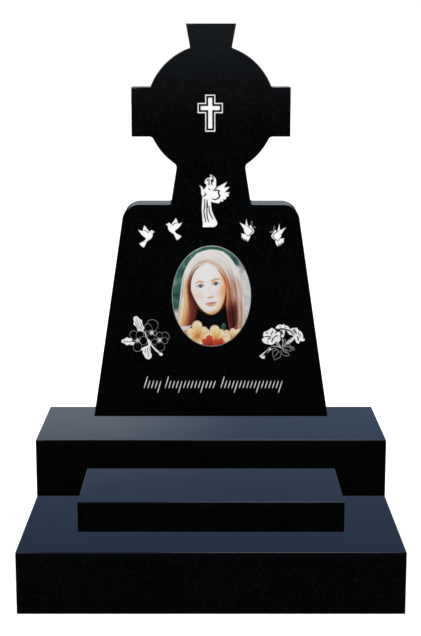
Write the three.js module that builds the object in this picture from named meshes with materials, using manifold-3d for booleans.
// A polished black granite grave memorial: a stepped base of three sawn slabs, and on it a round-shouldered
// headstone with a wheel-cross head. The front of the headstone is cut with a Latin cross, a praying angel,
// four doves and two sprays of flowers, and carries an oval portrait plaque above a row of shallow strokes.
// Millimetres, +Z up, the front faces -Y. The origin is at ground level, in the middle of the lowest slab.

import * as THREE from 'three';
import { mergeVertices } from 'three/addons/utils/BufferGeometryUtils.js';
import Module from 'manifold-3d';

const wasm = await Module();
wasm.setup();

// Driving dimensions

const inch = 25.4;
const bed = 0.3; // joint between two stones, and around the plaque
const arris = 1.5; // chamfer along every sawn edge

const lowerBase = { width: 36 * inch, depth: 30 * inch, height: 6 * inch };
const upperBase = { width: 36 * inch, depth: 13.625 * inch, height: 6 * inch };
const frontBlock = { width: 25.5 * inch, height: 3 * inch, setBack: 5.5 * inch };
const headstone = { height: 42 * inch, footWidth: 25.5 * inch, thickness: 4.25 * inch };

// The headstone's outline, with heights measured from its foot
const tablet = { sideSlope: 0.1537, shoulderHeight: 589, shoulderRadius: 45 };
const neck = { halfWidthBelow: 108, slope: 0.158, footFillet: 8, headFillet: 14 };
const wheel = { centreHeight: 841, radius: 172 };
const arms = { halfSpan: 212, bottomHeight: 771, topHeight: 901, lowerFillet: 12, upperFillet: 7 };
const crown = { halfWidthBelow: 55, halfWidthAbove: 66.5, fillet: 4 };
const wheelStep = THREE.MathUtils.degToRad(5);
const filletStep = THREE.MathUtils.degToRad(15);

// The cutting on the front
const carvingDepth = 2;
const strokeDepth = 1.5;
const proud = 1; // how far a cutter starts in front of the stone
const lineWidth = 1.6; // of a petal's or leaf's drawn edge
const foldWidth = 2.4; // of a fold or a row of feathers, left standing
const veinWidth = 1.3;
const curveDivisions = 2; // straight pieces for each point of a drawn curve

const plaque = { width: 8.5 * inch, height: 11 * inch, x: 1.5, z: 643, thickness: 5, seat: 3, crown: 2 };
const plaqueSides = 48;

const ground = 0;
const upperBed = lowerBase.height;
const headstoneBed = upperBed + upperBase.height;
const back = lowerBase.depth / 2;
const front = -lowerBase.depth / 2;
const faceY = back - headstone.thickness;
const foot = headstoneBed + bed;
const top = headstoneBed + headstone.height;
const wheelCentre = new THREE.Vector2(0, headstoneBed + wheel.centreHeight);

// Solids

function solid(geometry) {
  geometry.deleteAttribute('normal');
  geometry.deleteAttribute('uv');
  const merged = mergeVertices(geometry, 1e-4);
  const vertProperties = new Float32Array(merged.attributes.position.array);
  const triVerts = new Uint32Array(merged.index.array);
  return new wasm.Manifold(new wasm.Mesh({ numProp: 3, vertProperties, triVerts }));
}

function geometryOf(manifold) {
  const mesh = manifold.getMesh();
  const geometry = new THREE.BufferGeometry();
  geometry.setAttribute('position', new THREE.BufferAttribute(mesh.vertProperties, 3));
  geometry.setIndex(new THREE.BufferAttribute(mesh.triVerts, 1));
  geometry.computeVertexNormals();
  return geometry;
}

function joined(solids) {
  return solids.reduce((sum, next) => sum.add(next));
}

// A flat outline in X and Z becomes a plate with chamfered edges, whose front is at frontY.
function plate(outline, frontY, thickness) {
  const geometry = new THREE.ExtrudeGeometry(new THREE.Shape(outline), {
    depth: thickness - 2 * arris,
    bevelThickness: arris,
    bevelSize: arris,
    bevelOffset: -arris,
    bevelSegments: 1,
  });
  geometry.rotateX(Math.PI / 2);
  geometry.translate(0, frontY + thickness - arris, 0);
  return geometry;
}

// A flat outline in X and Z becomes a tool that cuts the headstone's front to a depth.
function cutter(outline, depth = carvingDepth) {
  const geometry = new THREE.ExtrudeGeometry(new THREE.Shape(outline), {
    depth: depth + proud,
    bevelEnabled: false,
  });
  geometry.rotateX(Math.PI / 2);
  geometry.translate(0, faceY + depth, 0);
  return solid(geometry);
}

// Flat drawing: every outline is a list of Vector2, with x across and y up

function at(x, z) {
  return new THREE.Vector2(x, z);
}

// Smooth stretches that meet at corners. The first point opens the outline, and each stretch goes on from
// there to the points in it: one point is a straight edge, several are a curve through them.
function drawn(start, stretches) {
  const path = new THREE.Path();
  path.moveTo(...start);
  for (const stretch of stretches) {
    if (stretch.length === 1) path.lineTo(...stretch[0]);
    else path.splineThru(stretch.map(([x, z]) => at(x, z)));
  }
  path.lineTo(...start);
  return path.getPoints(curveDivisions).slice(0, -1);
}

// A line of the given width along a curve, pointed at both ends.
function ribbon(points, width = foldWidth) {
  const curve = new THREE.SplineCurve(points.map(([x, z]) => at(x, z)));
  const steps = Math.max(3, curveDivisions * (points.length - 1));
  const sides = [[], []];
  for (let step = 0; step <= steps; step += 1) {
    const along = step / steps;
    const middle = curve.getPoint(along);
    const across = curve.getTangent(along).rotateAround(at(0, 0), Math.PI / 2);
    const half = (width / 2) * Math.sin(Math.PI * (0.1 + 0.8 * along)) ** 0.5;
    sides[0].push(middle.clone().addScaledVector(across, half));
    sides[1].unshift(middle.clone().addScaledVector(across, -half));
  }
  return [...sides[0], ...sides[1]];
}

// A petal or leaf from its base, in the direction of angle. blunt moves its widest place outwards, sharp
// above 1 points its ends, and waves and notch ruffle its edge.
function blade({ base, angle, length, width, ...rest }) {
  const { blunt = 0, sharp = 1, waves = 0, notch = 0, inset = 0, sides = 12 } = rest;
  const outline = [];
  for (let side = 0; side < sides; side += 1) {
    const turn = (2 * Math.PI * side) / sides;
    const along = (length / 2) * (1 - Math.cos(turn));
    const fullness = 1 - blunt * (0.5 + 0.5 * Math.cos(turn));
    const wave = 1 - notch * Math.abs(Math.sin((waves * turn) / 2));
    const bulge = Math.sign(Math.sin(turn)) * Math.abs(Math.sin(turn)) ** sharp;
    const across = (width / 2) * bulge * fullness * wave;
    const shrink = 1 - (2 * inset) / Math.min(length, width);
    const middle = length / 2;
    outline.push(at(middle + (along - middle) * shrink, across * shrink).rotateAround(at(0, 0), angle));
  }
  return outline.map((point) => point.add(at(...base)));
}

function placed(outline, { x, z, mirrored = false }) {
  return outline.map((point) => at(x + (mirrored ? -point.x : point.x), z + point.y));
}

// The headstone's outline

function arc(centre, start, end, step) {
  const from = start.clone().sub(centre);
  const to = end.clone().sub(centre);
  const turn = Math.atan2(from.cross(to), from.dot(to));
  const count = Math.max(1, Math.round(Math.abs(turn) / step));
  const point = (index) => start.clone().rotateAround(centre, (turn * index) / count);
  return Array.from({ length: count + 1 }, (_, index) => point(index));
}

// The arc that rounds the corner between two straight edges.
function roundedCorner(before, corner, after, radius) {
  const toBefore = before.clone().sub(corner).normalize();
  const toAfter = after.clone().sub(corner).normalize();
  const halfAngle = Math.acos(toBefore.dot(toAfter)) / 2;
  const bisector = toBefore.clone().add(toAfter).normalize();
  const centre = corner.clone().addScaledVector(bisector, radius / Math.sin(halfAngle));
  const reach = radius / Math.tan(halfAngle);
  const start = corner.clone().addScaledVector(toBefore, reach);
  const end = corner.clone().addScaledVector(toAfter, reach);
  return arc(centre, start, end, filletStep);
}

// The arc that joins a straight edge to the wheel's rim: outward points away from the stone at the edge, and
// towards runs along the edge to the wheel.
function wheelFillet(onEdge, towards, outward, radius) {
  const direction = towards.clone().normalize();
  const normal = outward.clone().normalize();
  const offset = onEdge.clone().addScaledVector(normal, radius).sub(wheelCentre);
  const half = offset.dot(direction);
  const distance = wheel.radius + radius;
  const reach = -half - Math.sqrt(half * half - offset.lengthSq() + distance * distance);
  const centre = wheelCentre.clone().add(offset).addScaledVector(direction, reach);
  const onWheel = wheelCentre.clone().lerp(centre, wheel.radius / distance);
  return arc(centre, centre.clone().addScaledVector(normal, -radius), onWheel, filletStep);
}

function headstoneOutline() {
  const footHalf = headstone.footWidth / 2;
  const shoulderZ = headstoneBed + tablet.shoulderHeight;
  const sideAtShoulder = footHalf - tablet.sideSlope * tablet.shoulderHeight;
  const footCorner = at(footHalf, foot);
  const shoulderCorner = at(sideAtShoulder, shoulderZ);
  const neckCorner = at(neck.halfWidthBelow, shoulderZ);
  const neckDirection = at(-neck.slope, 1);
  const neckAbove = neckCorner.clone().add(neckDirection);
  const armBottom = headstoneBed + arms.bottomHeight;
  const armTop = headstoneBed + arms.topHeight;
  const crownCorner = at(crown.halfWidthAbove, top);
  const crownFootHeight = Math.sqrt(wheel.radius ** 2 - crown.halfWidthBelow ** 2);
  const crownFoot = at(crown.halfWidthBelow, wheelCentre.y + crownFootHeight);
  const crownDirection = crownFoot.clone().sub(crownCorner);

  const neckJoin = wheelFillet(neckCorner, neckDirection, at(1, neck.slope), neck.headFillet);
  const armUnder = at(arms.halfSpan, armBottom);
  const armOver = at(arms.halfSpan, armTop);
  const lowerJoin = wheelFillet(armUnder, at(-1, 0), at(0, -1), arms.lowerFillet).reverse();
  const upperJoin = wheelFillet(armOver, at(-1, 0), at(0, 1), arms.upperFillet);
  const crownOutward = at(-crownDirection.y, crownDirection.x);
  const crownJoin = wheelFillet(crownCorner, crownDirection, crownOutward, crown.fillet).reverse();

  const right = [
    footCorner,
    ...roundedCorner(footCorner, shoulderCorner, neckCorner, tablet.shoulderRadius),
    ...roundedCorner(shoulderCorner, neckCorner, neckAbove, neck.footFillet),
    ...neckJoin,
    ...arc(wheelCentre, neckJoin.at(-1), lowerJoin[0], wheelStep).slice(1, -1),
    ...lowerJoin,
    armUnder,
    armOver,
    ...upperJoin,
    ...arc(wheelCentre, upperJoin.at(-1), crownJoin[0], wheelStep).slice(1, -1),
    ...crownJoin,
    crownCorner,
  ];
  const left = right.map((point) => at(-point.x, point.y)).reverse();
  return [...right, ...left];
}

// Latin cross: an outline band around a smaller solid cross

function crossOutline({ halfHeight, halfSpan, halfBeam, armZ }) {
  return [
    at(-halfBeam, -halfHeight),
    at(halfBeam, -halfHeight),
    at(halfBeam, armZ - halfBeam),
    at(halfSpan, armZ - halfBeam),
    at(halfSpan, armZ + halfBeam),
    at(halfBeam, armZ + halfBeam),
    at(halfBeam, halfHeight),
    at(-halfBeam, halfHeight),
    at(-halfBeam, armZ + halfBeam),
    at(-halfSpan, armZ + halfBeam),
    at(-halfSpan, armZ - halfBeam),
    at(-halfBeam, armZ - halfBeam),
  ];
}

function latinCross() {
  const outer = { halfHeight: 50, halfSpan: 35, halfBeam: 14.5, armZ: 13.5 };
  const place = { x: -2, z: 1138 };
  const band = 4.3;
  const gap = 3.7;
  const shrunk = (by) => ({
    ...outer,
    halfHeight: outer.halfHeight - by,
    halfSpan: outer.halfSpan - by,
    halfBeam: outer.halfBeam - by,
  });
  const cross = (by) => cutter(placed(crossOutline(shrunk(by)), place));
  return cross(0).subtract(cross(band)).add(cross(band + gap));
}

// The praying angel stands in profile, with joined hands raised to the left and a wing to the right. The
// folds and the edge of the feathers are thin lines left standing.
function angel() {
  const place = { x: -3, z: 833 };
  const figure = drawn([-20, 0], [
    [[10, 0]],
    [[17, 4], [20, 11], [15, 23], [8, 38], [4, 53], [3, 69]],
    [[14, 66], [24, 66], [28, 70]],
    [[34, 70], [36, 75]],
    [[42, 76], [44, 82]],
    [[49, 83], [50, 90], [54, 95]],
    [[40, 94]],
    [[54, 109]],
    [[38, 107]],
    [[47, 123]],
    [[32, 115], [18, 107], [8, 99]],
    [[16, 108], [17, 118], [16, 130], [10, 137], [3, 142], [0, 140]],
    [[1, 134], [-6, 133], [-12, 128], [-14, 119]],
    [[-9, 114], [-12, 107], [-17, 100]],
    [[-20, 108], [-29, 114]],
    [[-24, 104], [-23, 90], [-20, 83]],
    [[-21, 70], [-22, 50], [-20, 20]],
    [[-19, 8], [-20, 0]],
  ]);
  const lines = [
    [[-14, 76], [-14, 58], [-16, 44], [-14, 30], [-11, 13]],
    [[-7, 75], [-8, 58], [-8, 42], [-7, 28], [-3, 13]],
    [[-3, 64], [-4, 48], [0, 34], [7, 21]],
    [[-18, 84], [-13, 88], [-9, 92]],
    [[14, 99], [20, 101], [25, 98], [24, 92], [27, 85], [20, 79], [12, 75], [6, 78]],
    [[-4, 123], [-3, 118], [-4, 115]],
    [[4, 123], [3, 119], [5, 115]],
    [[5, 130], [8, 128], [9, 124]],
  ];
  const ribs = lines.map((line) => cutter(placed(ribbon(line), place)));
  return cutter(placed(figure, place)).subtract(joined(ribs));
}

// Doves: one pair rises with spread wings, the other pair flies up with a sprig in its beak

const soaringDove = {
  outline: drawn([17, 12], [
    [[12, 16], [6, 14], [3, 11]],
    [[-4, 20], [-10, 29]],
    [[-14, 22], [-15, 14]],
    [[-22, 15], [-28, 18]],
    [[-22, 8], [-16, 1], [-8, -5]],
    [[-8, -9], [-13, -14], [-25, -20]],
    [[-21, -26], [-13, -32]],
    [[-8, -23], [-5, -16], [0, -12], [7, -7], [11, 0], [11, 6]],
    [[14, 10], [17, 12]],
  ]),
  lines: [[[-11, 15], [-5, 12], [0, 8]]],
};

const sprigDove = {
  outline: drawn([-26, 27], [
    [[-16, 22], [-9, 19]],
    [[-9, 29], [-7, 37]],
    [[-4, 27], [-1, 16], [1, 14]],
    [[3, 19], [6, 20], [8, 16], [13, 9], [15, 4], [12, -2], [4, -8]],
    [[2, -17], [-4, -25]],
    [[-7, -20], [-10, -23], [-13, -19], [-18, -17], [-19, -9]],
    [[-22, -3]],
    [[-14, -3], [-9, -4]],
    [[-13, 2], [-14, 8], [-20, 18]],
  ]),
  lines: [
    [[-10, -3], [-4, -10], [3, -5], [9, 1], [7, 8], [0, 13], [-8, 18]],
  ],
  sprig: [
    { base: [9, 18], angle: 1.9, length: 10, width: 5 },
    { base: [9, 18], angle: 1.2, length: 9, width: 5 },
    { base: [10, 17], angle: -0.1, length: 7, width: 4 },
  ],
};

function dove({ outline, lines, sprig = [] }, place) {
  const ribs = lines.map((line) => cutter(placed(ribbon(line, veinWidth), place)));
  const leaves = sprig.map((leaf) => cutter(placed(blade({ ...leaf, sides: 8 }), place)));
  return joined([cutter(placed(outline, place)).subtract(joined(ribs)), ...leaves]);
}

function doves() {
  return joined([
    dove(soaringDove, { x: -169, z: 809 }),
    dove(soaringDove, { x: -105, z: 829, mirrored: true }),
    dove(sprigDove, { x: 103, z: 819 }),
    dove(sprigDove, { x: 177, z: 806, mirrored: true }),
  ]);
}

// A petal or leaf drawn as a line: it hides what was drawn behind it.
function overdrawn(drawing, shape, place) {
  const whole = cutter(placed(blade(shape), place));
  const inside = cutter(placed(blade({ ...shape, inset: lineWidth }), place));
  return drawing.subtract(whole).add(whole.subtract(inside));
}

function veinedLeaf(leaf, place) {
  const along = at(Math.cos(leaf.angle), Math.sin(leaf.angle));
  const across = at(-along.y, along.x);
  const spot = (forward, sideways) => {
    const point = at(...leaf.base)
      .addScaledVector(along, forward * leaf.length)
      .addScaledVector(across, sideways * leaf.width);
    return [point.x, point.y];
  };
  const veins = [
    [spot(0.08, 0), spot(0.5, 0.04), spot(0.84, 0)],
    [spot(0.24, 0.1), spot(0.45, 0.22), spot(0.64, 0.24)],
    [spot(0.24, -0.1), spot(0.45, -0.18), spot(0.64, -0.22)],
  ];
  const ribs = veins.map((vein) => cutter(placed(ribbon(vein, veinWidth), place)));
  return cutter(placed(blade({ ...leaf, waves: 7, notch: 0.14, sides: 21 }), place)).subtract(joined(ribs));
}

// Pansy spray: three flowers drawn in line, each with a petal behind its other five, over solid leaves

const pansyPetals = [
  { angle: 2.2, length: 27, width: 25 },
  { angle: 1.0, length: 27, width: 26 },
  { angle: 3.3, length: 22, width: 22 },
  { angle: -0.1, length: 26, width: 25 },
  { angle: -1.65, length: 29, width: 31 },
];
const pansyRays = 5;

function pansySpray() {
  const place = { x: -171, z: 517 };
  const leaves = [
    { base: [-17, 24], angle: 2.02, length: 50, width: 25, blunt: 0.1 },
    { base: [-37, 1], angle: 3.16, length: 40, width: 22, blunt: 0.1 },
    { base: [1, 3], angle: -1.6, length: 53, width: 23, blunt: 0.3 },
  ];
  const stems = [
    [[-18, 30], [-10, 18], [-2, 6], [2, -4]],
    [[2, 0], [12, -14], [24, -26], [33, -36]],
    [[-46, -2], [-38, -8], [-30, -8]],
  ];
  const flowers = [
    { centre: [9, 25], turn: 0.15, scale: 1.05, back: { angle: 1.3, length: 36, width: 38 } },
    { centre: [30, 4], turn: -0.2, scale: 1.02, back: { angle: 0.8, length: 32, width: 30 } },
    { centre: [-30, 3], turn: 0, scale: 1.12, back: { angle: 2.35, length: 30, width: 26 } },
  ];
  let drawing = joined([
    ...leaves.map((leaf) => veinedLeaf(leaf, place)),
    ...stems.map((stem) => cutter(placed(ribbon(stem, 5), place))),
  ]);
  for (const { centre, turn, scale, back: behind } of flowers) {
    for (const petal of [behind, ...pansyPetals]) {
      const size = { length: petal.length * scale, width: petal.width * scale };
      const shape = { base: centre, angle: petal.angle + turn, ...size, blunt: 0.4 };
      drawing = overdrawn(drawing, shape, place);
    }
    for (let ray = 0; ray < pansyRays; ray += 1) {
      const angle = turn + (2 * Math.PI * (ray + 0.25)) / pansyRays;
      const shape = { base: centre, angle, length: 8, width: 4, sides: 6 };
      drawing = drawing.add(cutter(placed(blade(shape), place)));
    }
  }
  return drawing;
}

// Petunia spray: a full flower, two seen from the side, a bud, and leaves in line

// Round lobes with a sharp notch between them
function ruffledFlower({ centre, radius, lobes, ruffle, turn, points }, grow = 0) {
  const outline = [];
  for (let point = 0; point < points; point += 1) {
    const angle = turn + (2 * Math.PI * point) / points;
    const lobe = 1 - ruffle * (1 - Math.abs(Math.sin((Math.PI * lobes * point) / points))) ** 2;
    const reach = radius * lobe + grow;
    outline.push(at(centre[0] + reach * Math.cos(angle), centre[1] + reach * Math.sin(angle)));
  }
  return outline;
}

function flowerCreases({ centre, radius, lobes, turn }) {
  const creases = [];
  for (let crease = 0; crease < 2 * lobes; crease += 1) {
    const angle = turn + (Math.PI * crease) / lobes;
    const reaches = crease % 2 === 0 ? [0.25, 0.88] : [0.12, 0.55];
    creases.push(reaches.map((reach) => [
      centre[0] + reach * radius * Math.cos(angle),
      centre[1] + reach * radius * Math.sin(angle),
    ]));
  }
  return creases;
}

function petuniaSpray() {
  const place = { x: 194, z: 498 };
  const flower = { centre: [-29, 36], radius: 26, lobes: 5, ruffle: 0.22, turn: 0.5, points: 40 };
  const topFlower = drawn([-18, 55], [
    [[-16, 62], [-8, 67], [-2, 65]],
    [[5, 67], [9, 62]],
    [[16, 62], [22, 55], [20, 50]],
    [[12, 54], [9, 46], [6, 33], [-1, 32], [-4, 44], [-6, 53]],
    [[-12, 53], [-18, 55]],
  ]);
  const rightFlower = drawn([22, 50], [
    [[27, 56], [34, 56]],
    [[44, 58], [50, 50]],
    [[56, 46], [60, 34], [58, 28]],
    [[64, 26], [60, 20], [52, 21]],
    [[47, 14], [41, 16], [36, 28], [28, 36], [20, 40]],
    [[19, 46], [22, 50]],
  ]);
  const rightTube = drawn([30, 32], [[[23, 29], [17, 22], [14, 16]], [[20, 13], [27, 19], [34, 27]]]);
  const bud = drawn([-61, -21], [
    [[-54, -17], [-44, -8], [-34, 1]],
    [[-29, -3]],
    [[-38, -12], [-45, -20], [-46, -29]],
    [[-54, -27], [-61, -21]],
  ]);
  const creases = [
    [[-12, 58], [-6, 56], [2, 57], [10, 56], [16, 53]],
    [[0, 52], [1, 44], [2, 37]],
    [[28, 51], [35, 46], [40, 36], [45, 30]],
    [[36, 53], [40, 44], [46, 38]],
    [[46, 42], [49, 36], [55, 33]],
    [[-50, -20], [-46, -14], [-40, -8]],
  ];
  const stems = [
    [[-31, 2], [-20, 5], [-8, 4], [2, 0]],
    [[-18, 14], [-10, 7], [0, 1]],
    [[2, 32], [4, 18], [1, 4]],
    [[16, 15], [8, 8], [1, 2]],
  ];
  const linedLeaves = [
    { base: [-4, -3], angle: -2.0, length: 38, width: 26 },
    { base: [-2, -5], angle: -0.6, length: 31, width: 20 },
    { base: [6, 2], angle: 0.02, length: 33, width: 17 },
    { base: [-2, 4], angle: 2.0, length: 20, width: 13 },
    { base: [6, 6], angle: 1.35, length: 25, width: 11 },
    { base: [-8, 0], angle: 3.0, length: 24, width: 9 },
  ];
  const cut = (outline) => cutter(placed(outline, place));
  let drawing = joined(stems.map((stem) => cut(ribbon(stem, 3))));
  for (const leaf of linedLeaves) drawing = overdrawn(drawing, { ...leaf, sharp: 1.4 }, place);
  const ribs = [...creases, ...flowerCreases(flower)].map((crease) => cut(ribbon(crease, lineWidth)));
  const blooms = joined([topFlower, rightFlower, rightTube, bud].map(cut));
  return drawing
    .add(blooms)
    .subtract(cut(ruffledFlower(flower, lineWidth)))
    .add(cut(ruffledFlower(flower)))
    .subtract(joined(ribs));
}

// A row of slanting strokes in three groups, where an inscription would be

const strokeRow = { z: 385, height: 22, tallHeight: 35, dropBelow: 13, width: 3.2, slant: 0.3, pitch: 10.2 };
const strokeGroups = [
  { from: -185, strokes: 5 },
  { from: -127, strokes: 14 },
  { from: 27, strokes: 17 },
];

function strokes() {
  const cuts = [];
  for (const group of strokeGroups) {
    for (let index = 0; index < group.strokes; index += 1) {
      const high = index === 0 ? strokeRow.tallHeight : strokeRow.height;
      const low = index % 6 === 4 ? -strokeRow.dropBelow : 0;
      const x = group.from + index * strokeRow.pitch;
      const line = [low, high].map((height) => [x + strokeRow.slant * height, strokeRow.z + height]);
      cuts.push(cutter(ribbon(line, strokeRow.width), strokeDepth));
    }
  }
  return joined(cuts);
}

// Portrait plaque: a low glazed dome on an oval, let into a shallow seat

function oval(halfWidth, halfHeight, sides) {
  return Array.from({ length: sides }, (_, side) => {
    const angle = (2 * Math.PI * side) / sides;
    return at(plaque.x + halfWidth * Math.cos(angle), plaque.z + halfHeight * Math.sin(angle));
  });
}

function plaqueGeometry() {
  const rim = 0.985; // where the rounded edge begins, as a share of the half width
  const edgeHeight = plaque.thickness - 1;
  const dome = [0.7, 0.35].map((reach) => at(reach, plaque.thickness + plaque.crown * (1 - reach ** 2)));
  const profile = [
    at(0, 0),
    at(1, 0),
    at(1, edgeHeight),
    at(rim, plaque.thickness),
    ...dome,
    at(0, plaque.thickness + plaque.crown),
  ];
  const geometry = new THREE.LatheGeometry(profile, plaqueSides);
  geometry.scale(plaque.width / 2, 1, plaque.height / 2);
  geometry.rotateX(Math.PI);
  geometry.translate(plaque.x, faceY + plaque.seat - bed, plaque.z);
  return geometry;
}

function headstoneGeometry() {
  const stone = solid(plate(headstoneOutline(), faceY, headstone.thickness));
  const seat = cutter(oval(plaque.width / 2 + bed, plaque.height / 2 + bed, plaqueSides), plaque.seat);
  return geometryOf(stone
    .subtract(seat)
    .subtract(latinCross())
    .subtract(angel())
    .subtract(doves())
    .subtract(pansySpray())
    .subtract(petuniaSpray())
    .subtract(strokes()));
}

// A sawn slab with every edge chamfered
function slabGeometry({ width, depth, height }, frontY, bottomZ) {
  const half = width / 2;
  const outline = [
    at(-half + arris, bottomZ),
    at(half - arris, bottomZ),
    at(half, bottomZ + arris),
    at(half, bottomZ + height - arris),
    at(half - arris, bottomZ + height),
    at(-half + arris, bottomZ + height),
    at(-half, bottomZ + height - arris),
    at(-half, bottomZ + arris),
  ];
  return plate(outline, frontY, depth);
}

// The memorial, stone by stone

const granite = { color: 0x07080a, roughness: 0.12, metalness: 0 };
const glaze = { color: 0xb9b3a4, roughness: 0.1, metalness: 0 };

function piece(name, geometry, finish) {
  const mesh = new THREE.Mesh(geometry, new THREE.MeshStandardMaterial(finish));
  mesh.name = name;
  return mesh;
}

const upperFront = back - upperBase.depth;
const blockFront = front + frontBlock.setBack;
const blockSize = {
  width: frontBlock.width,
  depth: upperFront - bed - blockFront,
  height: frontBlock.height - bed,
};
const upperSize = { ...upperBase, height: upperBase.height - bed };

const memorial = new THREE.Group();
memorial.add(
  piece('lower_base', slabGeometry(lowerBase, front, ground), granite),
  piece('upper_base', slabGeometry(upperSize, upperFront, upperBed + bed), granite),
  piece('front_block', slabGeometry(blockSize, blockFront, upperBed + bed), granite),
  piece('headstone', headstoneGeometry(), granite),
  piece('portrait_plaque', plaqueGeometry(), glaze),
);

export default memorial;
